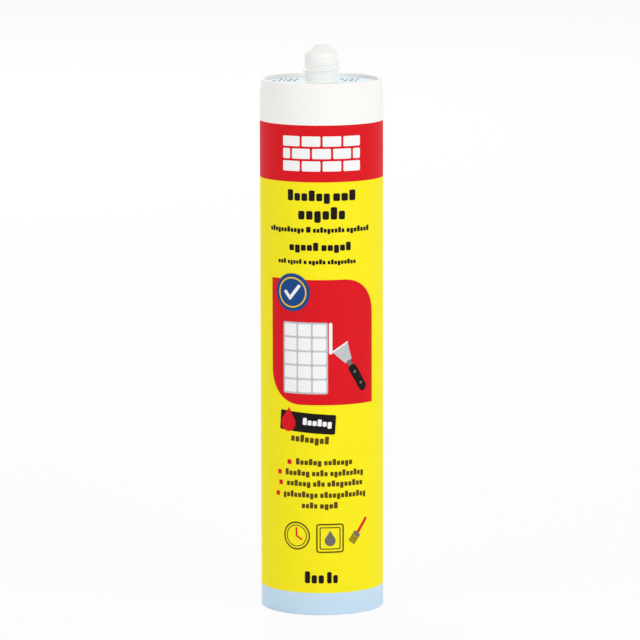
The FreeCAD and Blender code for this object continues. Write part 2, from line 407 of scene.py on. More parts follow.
def smooth(piece, limit=30):
    """Smooths a piece apart from edges sharper than the limit, led by its larger faces."""
    bpy.ops.object.select_all(action="DESELECT")
    piece.select_set(True)
    bpy.context.view_layer.objects.active = piece
    bpy.ops.object.shade_smooth_by_angle(angle=math.radians(limit))
    apply_modifier(piece, "WEIGHTED_NORMAL", keep_sharp=True)


def seat(piece, body, slot, *replaced):
    """Hangs a piece under the empty of the body that carries it, and hides the nodes it stands for. Its slot is
    not used.
    """
    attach(piece, body)
    if replaced:
        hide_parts(*replaced)


def turned_piece(name, corners, steps):
    """A solid of revolution, from corners that are each a radius, a height and a rounding.

    The corners start and end on the axis. The piece is left in object mode.
    """
    piece = start_piece(name)
    places = [Vector((radius, 0, height)) for radius, height, _ in corners]
    bpy.ops.mesh.primitive_plane_add()
    bpy.ops.mesh.merge(type="CENTER")
    bpy.ops.transform.translate(value=places[0])
    for place, following in itertools.pairwise(places):
        move = {"value": following - place}
        bpy.ops.mesh.extrude_region_move(TRANSFORM_OT_translate=move)
    for place, (_, _, rounding) in zip(places, corners):
        if rounding:
            pick(piece, lambda vertex: (vertex.co - place).length < NEAR)
            bpy.ops.mesh.bevel(affect="VERTICES", offset=rounding, segments=5)
    bpy.ops.mesh.select_all(action="SELECT")
    bpy.ops.mesh.spin(steps=steps, angle=2 * math.pi, center=(0, 0, 0), axis=(0, 0, 1))
    bpy.ops.mesh.select_all(action="SELECT")
    bpy.ops.mesh.remove_doubles(threshold=mm(0.002))
    bpy.ops.mesh.normals_make_consistent(inside=False)
    bpy.ops.object.mode_set(mode="OBJECT")
    return piece


def body_corners(sizes):
    """The body's section, from the tip over the outside and back up the bore."""
    rim = sizes.rim_level
    floor = rim - sizes.recess_depth
    inside = floor - sizes.head_thickness
    outside = sizes.barrel_radius
    collar = outside - sizes.collar_inset
    recess = collar - sizes.rim_width
    bore = outside - sizes.barrel_wall
    channel = sizes.neck_radius - sizes.neck_wall
    channel_end = sizes.cone_flat_radius * channel / sizes.neck_radius
    slope = (sizes.neck_radius - sizes.cone_flat_radius) / sizes.cone_height
    tip_inside = sizes.tip_level - sizes.cone_wall
    return [
        (0, sizes.tip_level, 0),
        (sizes.cone_flat_radius, sizes.tip_level, sizes.cone_round),
        (sizes.neck_radius, sizes.tip_level - sizes.cone_height, sizes.cone_round),
        (sizes.neck_radius, floor, sizes.neck_foot_round),
        (recess, floor, 0),
        (recess, rim, sizes.rim_round),
        (collar, rim, sizes.rim_round),
        (collar, rim - sizes.collar_height, 0),
        (outside, rim - sizes.collar_height - sizes.step_rise, 0),
        (outside, sizes.red_top, 0),
        (outside, sizes.red_foot, 0),
        (outside, sizes.yellow_foot, 0),
        (outside, 0, sizes.rear_round),
        (sizes.mouth_radius, 0, 0),
        (sizes.mouth_radius, sizes.mouth_depth, 0),
        (bore, sizes.mouth_depth + sizes.mouth_taper, 0),
        (bore, inside - sizes.bore_corner, 0),
        (bore - sizes.bore_corner, inside, 0),
        (channel, inside, 0),
        (channel, tip_inside - (channel - channel_end) / slope, 0),
        (channel_end, tip_inside, 0),
        (0, tip_inside, 0),
    ]


# The nozzle thread's two lengths: where each starts, in degrees from the neck's left side towards
# its front, its turns, and the full turns below it.
RIDGES = ((-25, 0.75, 0), (55, 0.6, 1))
RIDGE_SINK = mm(0.4)
RIDGE_STEPS = 96
RUN_OUT = mm(2.4)
# How deep each end is pressed towards the neck, as a share of the crest's height, and how near to
# the crest's middle a vertex of that end lies, as a share of the crest's width.
RUN_OUT_DROP = 0.9
CREST_REACH = 0.6


def add_ridge(sizes, start, turns, full_turns):
    """One length of the nozzle thread: a trapezoid wound up the neck, with run-outs."""
    ridge = start_piece("ridge")
    root = sizes.neck_radius - RIDGE_SINK
    crest = sizes.neck_radius + sizes.thread_ridge
    rise = sizes.thread_pitch * (full_turns + start / 360)
    middle = Vector((-(root + crest) / 2, 0, sizes.rim_level - sizes.recess_depth))
    middle.z += sizes.thread_height + rise
    bpy.ops.mesh.primitive_plane_add(size=1, location=middle, rotation=(math.pi / 2, 0, 0))
    outline = (crest - root, 1, sizes.thread_root)
    bpy.ops.transform.resize(value=outline, center_override=middle)
    pick(ridge, lambda vertex: vertex.co.x < middle.x)
    narrow = (1, 1, sizes.thread_crest / sizes.thread_root)
    bpy.ops.transform.resize(value=narrow, center_override=middle)
    bpy.ops.mesh.select_all(action="SELECT")
    bpy.ops.mesh.delete(type="ONLY_FACE")
    bpy.ops.object.mode_set(mode="OBJECT")
    ridge.rotation_euler.z = math.radians(start)
    bpy.ops.object.transform_apply(location=False, rotation=True, scale=False)
    steps = round(RIDGE_STEPS * turns)
    apply_modifier(
        ridge, "SCREW", angle=2 * math.pi * turns, screw_offset=sizes.thread_pitch * turns,
        steps=steps, render_steps=steps, use_merge_vertices=False,
    )
    bpy.ops.object.mode_set(mode="EDIT")
    for share in (0, 1):
        way = math.pi + math.radians(start) + share * 2 * math.pi * turns
        outwards = Vector((math.cos(way), math.sin(way), 0))
        end = outwards * crest
        end.z = middle.z + share * sizes.thread_pitch * turns
        pick(ridge, lambda vertex: (vertex.co - end).length < sizes.thread_crest * CREST_REACH)
        bpy.ops.transform.translate(
            value=outwards * (-RUN_OUT_DROP * sizes.thread_ridge), use_proportional_edit=True,
            proportional_edit_falloff="SMOOTH", proportional_size=RUN_OUT,
            use_proportional_connected=True,
        )
    bpy.ops.mesh.select_all(action="DESELECT")
    bpy.ops.mesh.select_non_manifold()
    bpy.ops.mesh.fill_holes(sides=4)
    bpy.ops.mesh.select_all(action="SELECT")
    bpy.ops.mesh.normals_make_consistent(inside=False)
    bpy.ops.object.mode_set(mode="OBJECT")
    return ridge


class FlatPrint:
    """A flat sheet of print in the XZ plane, drawn shape by shape and then bent round the barrel.

    Lengths are in millimetres: x is the way round the barrel, to the right, and z the height.
    """

    STRIP = mm(1.1)
    DEPTH = mm(0.25)
    FLAT = (math.pi / 2, 0, 0)
    # The blocks of a word: how far they stand above or hang below their row, how far apart their
    # middles are and the gap between them, all as shares of their height.
    RISES = (0.45, 0, 0, 0.4, 0, -0.35, 0, 0, 0.4, 0, 0, -0.35, 0)
    BLOCK_PITCH = 0.94
    BLOCK_GAP = 0.2
    # The rounding of a line's ends, as a share of its width, and the length of a droplet's point, as
    # a share of its radius.
    LINE_END = 0.45
    POINT = 0.9

    def __init__(self, name, step):
        self.piece = start_piece(name)
        self.step = step
        self.rises = itertools.cycle(self.RISES)

    def spot(self, x, z, layer):
        """A place on the sheet, on one of its layers."""
        return Vector((mm(x), -layer * self.step, mm(z)))

    def paint(self, name):
        """Gives the selected faces that ink."""
        slots = self.piece.data.materials
        if ink(name).name not in slots:
            slots.append(ink(name))
        self.piece.active_material_index = slots.find(ink(name).name)
        bpy.ops.object.material_slot_assign()

    def bar(self, x, z, width, height, name, layer=1, rounding=0, turn=0):
        """A rectangle round a centre, turned anticlockwise by degrees, with rounded corners."""
        spot = self.spot(x, z, layer)
        bpy.ops.mesh.primitive_plane_add(size=1, location=spot, rotation=self.FLAT)
        bpy.ops.transform.resize(value=(mm(width), 1, mm(height)), center_override=spot)
        if turn:
            self.turn(turn, x, z)
        self.paint(name)
        if rounding:
            bpy.ops.mesh.bevel(affect="VERTICES", offset=mm(rounding), segments=4)

    def turn(self, degrees, x, z):
        """Turns what is selected anticlockwise about a place, as seen from in front."""
        bpy.ops.transform.rotate(
            value=math.radians(degrees), orient_axis="Y", center_override=self.spot(x, z, 1)
        )

    def line(self, x1, z1, x2, z2, width, name, layer=1):
        """A straight line with rounded ends between two places."""
        run = math.hypot(x2 - x1, z2 - z1) + width
        slope = math.degrees(math.atan2(z2 - z1, x2 - x1))
        ends = width * self.LINE_END
        self.bar((x1 + x2) / 2, (z1 + z2) / 2, run, width, name, layer, ends, slope)

    def disc(self, x, z, radius, name, layer=1, corners=48):
        """A filled circle."""
        bpy.ops.mesh.primitive_circle_add(
            vertices=corners, radius=mm(radius), fill_type="NGON",
            location=self.spot(x, z, layer), rotation=self.FLAT,
        )
        self.paint(name)

    def hollow(self, width):
        """Leaves only a band of that width inside the edge of the face just drawn."""
        bpy.ops.mesh.inset(thickness=mm(width))
        bpy.ops.mesh.delete(type="FACE")

    def droplet(self, x, z, radius, name, layer=1):
        """A circle drawn up to a point."""
        self.disc(x, z, radius, name, layer)
        top = self.spot(x, z + radius, layer)
        pick(self.piece, lambda vertex: (vertex.co - top).length < NEAR)
        bpy.ops.transform.translate(
            value=(0, 0, mm(radius * self.POINT)), use_proportional_edit=True,
            proportional_edit_falloff="SHARP", proportional_size=mm(radius),
            use_proportional_connected=True,
        )

    def words(self, x, z, widths, gap, height, name="black", layer=1, pitch=BLOCK_PITCH):
        """A row of words from x, each that wide and made of small plain blocks."""
        between = height * self.BLOCK_GAP
        for width in widths:
            blocks = max(1, round(width / (height * pitch)))
            step = (width + between) / blocks
            for number in range(blocks):
                rise = next(self.rises) * height
                middle = x + number * step + (step - between) / 2
                self.bar(middle, z + rise / 2, step - between, height + abs(rise), name, layer, between)
            x += width + gap

    def rows(self, rows):
        """Rows of black words: left end, height of the middle, blocks' height, gap and widths."""
        for x, z, height, gap, widths in rows:
            self.words(x, z, widths, gap, height)

    def copy(self, dx, dz, times=1):
        """Copies what is selected, each copy that much on from the last and selected instead."""
        for _ in range(times):
            move = {"value": (mm(dx), 0, mm(dz))}
            bpy.ops.mesh.duplicate_move(TRANSFORM_OT_translate=move)

    def copy_all(self, dx, dz, times=1):
        """Copies everything drawn so far in the same way."""
        bpy.ops.mesh.select_all(action="SELECT")
        self.copy(dx, dz, times)

    def wrap(self, radius, facing=FRONT):
        """Cuts the sheet into narrow strips, thickens it and bends it round the barrel."""
        bpy.ops.object.mode_set(mode="OBJECT")
        across = [vertex.co.x for vertex in self.piece.data.vertices]
        left = min(across)
        width = max(across) - left
        strips = math.ceil(width / self.STRIP)
        bpy.ops.object.mode_set(mode="EDIT")
        for number in range(1, strips):
            bpy.ops.mesh.select_all(action="SELECT")
            cut = (left + width * number / strips, 0, 0)
            bpy.ops.mesh.bisect(plane_co=cut, plane_no=(1, 0, 0))
        bpy.ops.object.mode_set(mode="OBJECT")
        apply_modifier(self.piece, "SOLIDIFY", thickness=self.DEPTH, offset=-1)
        apply_modifier(
            self.piece, "SIMPLE_DEFORM", deform_method="BEND", deform_axis="Z",
            angle=width / radius,
        )
        self.piece.location.y = -radius
        bpy.ops.object.transform_apply(location=True, rotation=False, scale=False)
        self.piece.rotation_euler.z = facing
        bpy.ops.object.transform_apply(location=False, rotation=True, scale=False)
        smooth(self.piece)
        seat(self.piece, "cartridge", "cartridge")

    def copy_to_back(self, name):
        """Copies the bent sheet to the other side of the barrel."""
        bpy.ops.object.duplicate()
        copy = bpy.context.object
        copy.name = copy.data.name = name
        copy.rotation_euler.z = BACK
        bpy.ops.object.transform_apply(location=False, rotation=True, scale=False)
        seat(copy, "cartridge", "cartridge")


class CartridgeOperator:
    """What the operators share."""

    bl_options = {"REGISTER", "UNDO"}

    def execute(self, context):
        """Makes the piece from the scene's sizes."""
        self.make(context.scene.cartridge_sizes)
        return {"FINISHED"}

    @staticmethod
    def sheet(name, sizes):
        """A flat print that is ready to be drawn on."""
        return FlatPrint(name, sizes.ink_layer)


class CARTRIDGE_OT_body(CartridgeOperator, bpy.types.Operator):
    """Models the moulded body with its thread and the printed bands of its barrel"""

    bl_idname = "cartridge.add_body"
    bl_label = "Add Body"

    def make(self, sizes):
        body = turned_piece("cartridge_shell", body_corners(sizes), 192)
        colours = bpy.context.scene.cartridge_colours
        # The white plastic has painted cool shade near the rear rim.
        white = moulded_plastic("white_plastic", colours.plastic, colours.foot_painted_shade)
        # The recess floor's plastic is painted with cool shade all over.
        recess = moulded_plastic("recess_plastic", colours.recess, colours.recess)
        for material in (white, ink("yellow"), ink("red"), recess):
            body.data.materials.append(material)
        bore = sizes.barrel_radius - sizes.barrel_wall / 2
        recess_floor = sizes.rim_level - sizes.recess_depth
        for face in body.data.polygons:
            radius = math.hypot(face.center.x, face.center.y)
            if radius > bore and sizes.yellow_foot < face.center.z < sizes.red_foot:
                face.material_index = 1
            elif radius > bore and sizes.red_foot < face.center.z < sizes.red_top:
                face.material_index = 2
            # The recess floor takes the plastic with painted shade.
            elif abs(face.center.z - recess_floor) < NEAR:
                face.material_index = 3
        for start, turns, full_turns in RIDGES:
            ridge = add_ridge(sizes, start, turns, full_turns)
            ridge.select_set(False)
            bpy.context.view_layer.objects.active = body
            apply_modifier(body, "BOOLEAN", operation="UNION", object=ridge, solver="EXACT")
            bpy.data.objects.remove(ridge)
        smooth(body)
        seat(body, "cartridge", "cartridge", "cartridge_body")


class CARTRIDGE_OT_paste(CartridgeOperator, bpy.types.Operator):
    """Models the paste in the barrel and in the neck"""

    bl_idname = "cartridge.add_paste"
    bl_label = "Add Paste"

    REAR_ROUND = mm(0.3)
    # The cone that ends the neck's paste: its height, and its flat as a share of the radius below.
    CONE = mm(2.3)
    CONE_FLAT = 0.4

    def make(self, sizes):
        inside = sizes.rim_level - sizes.recess_depth - sizes.head_thickness
        top = inside - sizes.paste_gap
        radius = sizes.barrel_radius - sizes.barrel_wall - sizes.paste_gap
        rear = PASTE_BOX[0].z
        barrel_paste = turned_piece(
            "barrel_paste",
            [
                (0, top, 0),
                (radius - sizes.bore_corner, top, 0),
                (radius, top - sizes.bore_corner, 0),
                (radius, rear, self.REAR_ROUND),
                (0, rear, 0),
            ],
            96,
        )
        neck = sizes.neck_radius - sizes.neck_wall - sizes.paste_gap
        tip = PASTE_BOX[1].z
        neck_paste = turned_piece(
            "neck_paste",
            [
                (0, tip, 0),
                (neck * self.CONE_FLAT, tip, 0),
                (neck, tip - self.CONE, 0),
                (neck, top, 0),
                (0, top, 0),
            ],
            64,
        )
        for piece in (barrel_paste, neck_paste):
            piece.data.materials.append(paste_surface())
            smooth(piece)
        left = (inside - rear - PISTON_SLIDE["range_m"][1]) / (inside - rear)
        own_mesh(barrel_paste)
        seat(barrel_paste, "cartridge", "paste", "sealant")
        seat(neck_paste, "cartridge", "paste", "sealant")


class CARTRIDGE_OT_piston(CartridgeOperator, bpy.types.Operator):
    """Gives the piston its plastic"""

    bl_idname = "cartridge.finish_piston"
    bl_label = "Finish Piston"

    def make(self, sizes):
        material = piston_plastic()
        for slot in frame["nodes"]["piston"].material_slots:
            slot.link = "OBJECT"
            slot.material = material


class CARTRIDGE_OT_recess_marks(CartridgeOperator, bpy.types.Operator):
    """Prints two faint rows of dashes on the floor of the head's recess, beside the neck"""

    bl_idname = "cartridge.add_recess_marks"
    bl_label = "Add Recess Marks"

    # Each row: how far it lies behind the neck's middle, its left end and the widths of its dashes.
    ROWS = (
        (9.4, -17.0, (1.4, 0.8, 1.6, 1.2)),
        (9.4, 7.6, (1.6, 0.8, 1.5, 1.1)),
        (2.2, -20.0, (1.5, 1.1, 0.7, 1.6, 1.2)),
        (2.2, 9.0, (1.2, 1.6, 0.8)),
    )
    DEPTH = 3.2
    GAP = 0.9
    ROUNDING = 0.25
    THICKNESS = 0.12

    def make(self, sizes):
        floor = sizes.rim_level - sizes.recess_depth
        marks = start_piece("recess_marks")
        for back, x, widths in self.ROWS:
            for width in widths:
                spot = Vector((mm(x + width / 2), mm(back), floor))
                bpy.ops.mesh.primitive_plane_add(size=1, location=spot)
                bpy.ops.transform.resize(value=(mm(width), mm(self.DEPTH), 1), center_override=spot)
                bpy.ops.mesh.bevel(affect="VERTICES", offset=mm(self.ROUNDING), segments=3)
                x += width + self.GAP
        bpy.ops.object.mode_set(mode="OBJECT")
        apply_modifier(marks, "SOLIDIFY", thickness=mm(self.THICKNESS), offset=0)
        marks.data.materials.append(ink("code"))
        smooth(marks)
        seat(marks, "cartridge", "cartridge")


class CARTRIDGE_OT_bricks(CartridgeOperator, bpy.types.Operator):
    """Prints the white courses of bricks in the red band"""

    bl_idname = "cartridge.print_bricks"
    bl_label = "Print Bricks"

    WIDTH = 7.6
    HEIGHT = 4.1
    JOINT = 0.9
    ROUNDING = 0.5
    IN_A_COURSE = 4

    def make(self, sizes):
        middle = (sizes.red_foot + sizes.red_top) / mm(2)
        step = self.WIDTH + self.JOINT
        course = self.HEIGHT + self.JOINT
        row = self.IN_A_COURSE * step - self.JOINT
        half = (self.WIDTH - self.JOINT) / 2
        sheet = self.sheet("brick_print", sizes)
        x = -row / 2 + half + self.JOINT + self.WIDTH / 2
        sheet.bar(x, middle, self.WIDTH, self.HEIGHT, "white", rounding=self.ROUNDING)
        # The brick is copied along the middle course, back along the lower one and along the upper.
        sheet.copy(step, 0, self.IN_A_COURSE - 2)
        sheet.copy(step / 2, -course)
        sheet.copy(-step, 0, self.IN_A_COURSE - 1)
        sheet.copy(0, 2 * course)
        sheet.copy(step, 0, self.IN_A_COURSE - 1)
        x = (half - row) / 2
        sheet.bar(x, middle, half, self.HEIGHT, "white", rounding=self.ROUNDING)
        sheet.copy(row - half, 0)
        sheet.wrap(sizes.barrel_radius)
        sheet.copy_to_back("brick_print_back")


class CARTRIDGE_OT_titles(CartridgeOperator, bpy.types.Operator):
    """Prints the title rows in the yellow band's upper part, their words made of plain blocks"""

    bl_idname = "cartridge.print_titles"
    bl_label = "Print Titles"

    # Each row: left end, height of its middle, height of its blocks, gap, widths of its words.
    ROWS = (
        (-14.3, 171.0, 3.1, 1.4, (17.6, 9.6)),
        (-9.6, 163.7, 3.5, 1.4, (19.2,)),
        (-23.7, 157.5, 1.6, 1.0, (16.4, 1.8, 12.8, 11.0)),
        (-13.6, 150.5, 2.4, 1.3, (12.2, 12.2)),
        (-19.2, 144.6, 1.4, 0.9, (3.9, 6.1, 1.2, 6.8, 12.0)),
    )

    def make(self, sizes):
        sheet = self.sheet("title_print", sizes)
        sheet.rows(self.ROWS)
        sheet.wrap(sizes.barrel_radius)


class CARTRIDGE_OT_panel(CartridgeOperator, bpy.types.Operator):
    """Prints the red panel with a tiled wall and its bead of sealant"""

    bl_idname = "cartridge.print_panel"
    bl_label = "Print Panel"

    LEFT, RIGHT, FOOT, TOP = -23.0, 23.4, 86.5, 137.5
    CORNER = 14.0
    TILE = (5.4, 5.0)
    TILE_ROUND = 0.7
    GROUT = 0.7
    WALL_FOOT = (-16.6, 91.0)
    WALL_ROUND = 0.8
    COLUMNS, ROWS = 3, 5
    BEAD_WIDTH = 1.4
    # The bead's middle beyond the wall, its foot as a share of the wall's height, and its top below
    # the wall's top.
    BEAD_BEYOND = 1.1
    BEAD_FOOT = 0.58
    BEAD_TOP = 0.8

    def make(self, sizes):
        sheet = self.sheet("panel_print", sizes)
        x, z = self.WALL_FOOT
        across = self.TILE[0] + self.GROUT
        up = self.TILE[1] + self.GROUT
        first_tile = (x + self.GROUT + self.TILE[0] / 2, z + self.GROUT + self.TILE[1] / 2)
        sheet.bar(*first_tile, *self.TILE, "white", 3, self.TILE_ROUND)
        sheet.copy(across, 0, self.COLUMNS - 1)
        sheet.copy_all(0, up, self.ROWS - 1)
        middle = ((self.LEFT + self.RIGHT) / 2, (self.FOOT + self.TOP) / 2)
        sheet.bar(*middle, self.RIGHT - self.LEFT, self.TOP - self.FOOT, "red", 1)
        corners = [
            sheet.spot(self.RIGHT, self.TOP, 1),
            sheet.spot(self.LEFT, self.FOOT, 1),
        ]
        pick(
            sheet.piece,
            lambda vertex: min((vertex.co - corner).length for corner in corners) < NEAR,
        )
        bpy.ops.mesh.bevel(affect="VERTICES", offset=mm(self.CORNER), segments=16)
        wall = (self.COLUMNS * across + self.GROUT, self.ROWS * up + self.GROUT)
        sheet.bar(x + wall[0] / 2, z + wall[1] / 2, *wall, "grey", 2, self.WALL_ROUND)
        bead = x + wall[0] + self.BEAD_BEYOND
        bead_foot = z + wall[1] * self.BEAD_FOOT
        bead_top = z + wall[1] - self.BEAD_TOP
        sheet.line(bead, bead_foot, bead, bead_top, self.BEAD_WIDTH, "white", 3)
        sheet.wrap(sizes.barrel_radius)


class CARTRIDGE_OT_knife(CartridgeOperator, bpy.types.Operator):
    """Prints the filling knife on the panel"""

    bl_idname = "cartridge.print_knife"
    bl_label = "Print Knife"

    PLACE = (11.9, 102.9)
    TURN = 32
    BLADE = (7.7, 7.2)
    BLADE_LEVEL = 5.2
    # The blade's foot as a share of its edge's width.
    BLADE_FOOT = 0.42
    # Edge, neck and handle: height of the middle over the knife's place, width, height, ink, layer
    # and rounding.
    BARS = (
        (8.5, 7.7, 0.6, "white", 3, 0),
        (0.6, 1.9, 2.6, "steel", 2, 0.3),
        (-6.6, 3.7, 12.4, "black", 3, 1.6),
    )
    RIVET_RADIUS = 0.6
    RIVET_LEVEL = -3.7
    RIVET_STEP = -5.5

    def make(self, sizes):
        x, z = self.PLACE
        sheet = self.sheet("knife_print", sizes)
        blade = z + self.BLADE_LEVEL
        sheet.bar(x, blade, *self.BLADE, "grey", 2)
        pick(sheet.piece, lambda vertex: vertex.co.z < mm(blade))
        narrow = (self.BLADE_FOOT, 1, 1)
        bpy.ops.transform.resize(value=narrow, center_override=sheet.spot(x, z, 2))
        for level, width, height, name, layer, rounding in self.BARS:
            sheet.bar(x, z + level, width, height, name, layer, rounding)
        sheet.disc(x, z + self.RIVET_LEVEL, self.RIVET_RADIUS, "steel", 4, 20)
        sheet.copy(0, self.RIVET_STEP)
        bpy.ops.mesh.select_all(action="SELECT")
        sheet.turn(self.TURN, x, z)
        sheet.wrap(sizes.barrel_radius)


class CARTRIDGE_OT_badge(CartridgeOperator, bpy.types.Operator):
    """Prints the round blue badge with its tick"""

    bl_idname = "cartridge.print_badge"
    bl_label = "Print Badge"

    PLACE = (-12.4, 132.2)
    RADIUS = 7.7
    # The ring's outside as a share of the badge's radius.
    RING = 0.81
    RING_WIDTH = 0.6
    # The tick's start, corner and end, from the badge's middle.
    TICK = ((-2.9, 0.2), (-0.9, -2.3), (3.0, 2.6))
    TICK_WIDTH = 1.3

    def make(self, sizes):
        x, z = self.PLACE
        sheet = self.sheet("badge_print", sizes)
        sheet.disc(x, z, self.RADIUS, "blue", 4, 64)
        sheet.disc(x, z, self.RADIUS * self.RING, "gold", 5, 64)
        sheet.hollow(self.RING_WIDTH)
        corners = [(x + across, z + up) for across, up in self.TICK]
        for start, end in itertools.pairwise(corners):
            sheet.line(*start, *end, self.TICK_WIDTH, "white", 5)
        sheet.wrap(sizes.barrel_radius)


class CARTRIDGE_OT_tag(CartridgeOperator, bpy.types.Operator):
    """Prints the black tag with its red drop, and the word below"""

    bl_idname = "cartridge.print_tag"
    bl_label = "Print Tag"

    PLACE = (-6.4, 79.2)
    SIZE = (23.8, 8.0)
    ROUNDING = 0.6
    TURN = -4
    # The drop: where its round part's middle lies, and its radius.
    DROP = (-14.4, 78.2, 3.4)
    # Each word: left end, height of its middle, width, height of its blocks, ink and layer.
    WORDS = (
        (-7.9, 79.3, 11.8, 2.0, "white", 3),
        (-12.6, 72.2, 15.8, 2.2, "brown", 1),
    )

    def make(self, sizes):
        sheet = self.sheet("tag_print", sizes)
        sheet.bar(*self.PLACE, *self.SIZE, "black", 2, self.ROUNDING)
        sheet.droplet(*self.DROP, "red", 3)
        for x, z, width, height, name, layer in self.WORDS:
            sheet.words(x, z, (width,), 0, height, name, layer)
        bpy.ops.mesh.select_all(action="SELECT")
        sheet.turn(self.TURN, *self.PLACE)
        sheet.wrap(sizes.barrel_radius)


class CARTRIDGE_OT_points(CartridgeOperator, bpy.types.Operator):
    """Prints the list of points: red squares, each before a row of words"""

    bl_idname = "cartridge.print_points"
    bl_label = "Print Points"

    # Each row: its square's left edge, height of its middle and widths of its words.
    ROWS = (
        (-14.9, 62.8, (10.6, 11.8)),
        (-19.8, 58.3, (10.6, 6.3, 14.7)),
        (-19.2, 54.0, (10.4, 4.7, 15.5)),
        (-20.8, 49.4, (14.9, 20.1)),
    )
    LAST_ROW = (-8.4, 45.0, (6.4, 7.2))
    SQUARE = 1.9
    SQUARE_ROUND = 0.2
    INDENT = 4.0
    HEIGHT = 1.8
    GAP = 1.1

    def make(self, sizes):
        sheet = self.sheet("points_print", sizes)
        x, z, _ = self.ROWS[0]
        middle = x + self.SQUARE / 2
        sheet.bar(middle, z, self.SQUARE, self.SQUARE, "red", rounding=self.SQUARE_ROUND)
        for (x, z, _), (next_x, next_z, _) in itertools.pairwise(self.ROWS):
            sheet.copy(next_x - x, next_z - z)
        for x, z, widths in self.ROWS:
            sheet.words(x + self.INDENT, z, widths, self.GAP, self.HEIGHT, "brown")
        x, z, widths = self.LAST_ROW
        sheet.words(x, z, widths, self.GAP, self.HEIGHT, "brown")
        sheet.wrap(sizes.barrel_radius)


class CARTRIDGE_OT_pictograms(CartridgeOperator, bpy.types.Operator):
    """Prints the outline pictograms: a clock, and a droplet in a frame"""

    bl_idname = "cartridge.print_pictograms"
    bl_label = "Print Pictograms"

    LINE = 0.6
    CLOCK = (-10.8, 32.6)
    # Each ring of the clock: its radius, and its width as a share of the line.
    RINGS = ((5.8, 1), (4.5, 0.6))
    # Where each hand ends, from the clock's middle.
    HANDS = ((0, 3.2), (2.2, -1.4))
    FRAME = (3.2, 31.8)
    # Each outline of the frame: width, height, rounding, and its width as a share of the line.
    OUTLINES = ((11.4, 12.0, 1.2, 1), (8.6, 9.2, 0.7, 0.7))
    DROPLET_RADIUS = 2.2
    # The droplet's round part lies this far below the frame's middle.
    DROPLET_BELOW = 1.0

    def make(self, sizes):
        sheet = self.sheet("pictogram_print", sizes)
        x, z = self.CLOCK
        for radius, share in self.RINGS:
            sheet.disc(x, z, radius, "brown")
            sheet.hollow(self.LINE * share)
        for across, up in self.HANDS:
            sheet.line(x, z, x + across, z + up, self.LINE, "red", 2)
        x, z = self.FRAME
        for width, height, rounding, share in self.OUTLINES:
            sheet.bar(x, z, width, height, "brown", rounding=rounding)
            sheet.hollow(self.LINE * share)
        sheet.droplet(x, z - self.DROPLET_BELOW, self.DROPLET_RADIUS, "steel", 2)
        sheet.wrap(sizes.barrel_radius)


class CARTRIDGE_OT_brush(CartridgeOperator, bpy.types.Operator):
    """Prints the small brush beside the pictograms"""

    bl_idname = "cartridge.print_brush"
    bl_label = "Print Brush"

    PLACE = (15.6, 34.0)
    TURN = -38
    # Handle and ferrule: height of the middle over the brush's place, width, height, ink, rounding.
    BARS = ((3.0, 1.3, 7.4, "red", 0.5), (-1.4, 3.4, 1.6, "steel", 0.2))
    BRISTLE = (0.45, 3.2)
    BRISTLE_ROUND = 0.1
    BRISTLE_LEVEL = -3.9
    BRISTLE_STEP = 0.68
    BRISTLES = 5

    def make(self, sizes):
        x, z = self.PLACE
        sheet = self.sheet("brush_print", sizes)
        for level, width, height, name, rounding in self.BARS:
            sheet.bar(x, z + level, width, height, name, rounding=rounding)
        first = (x - self.BRISTLE_STEP * (self.BRISTLES - 1) / 2, z + self.BRISTLE_LEVEL)
        sheet.bar(*first, *self.BRISTLE, "brown", rounding=self.BRISTLE_ROUND)
        sheet.copy(self.BRISTLE_STEP, 0, self.BRISTLES - 1)
        bpy.ops.mesh.select_all(action="SELECT")
        sheet.turn(self.TURN, x, z)
        sheet.wrap(sizes.barrel_radius)


class CARTRIDGE_OT_volume(CartridgeOperator, bpy.types.Operator):
    """Prints two larger words low on the front"""

    bl_idname = "cartridge.print_volume"
    bl_label = "Print Volume"

    LEFT = -7.2
    LEVEL = 14.9
    WIDTHS = (7.8, 4.4)
    GAP = 1.3
    HEIGHT = 3.4
    PITCH = 0.72

    def make(self, sizes):
        sheet = self.sheet("volume_print", sizes)
        sheet.words(self.LEFT, self.LEVEL, self.WIDTHS, self.GAP, self.HEIGHT, pitch=self.PITCH)
        sheet.wrap(sizes.barrel_radius)


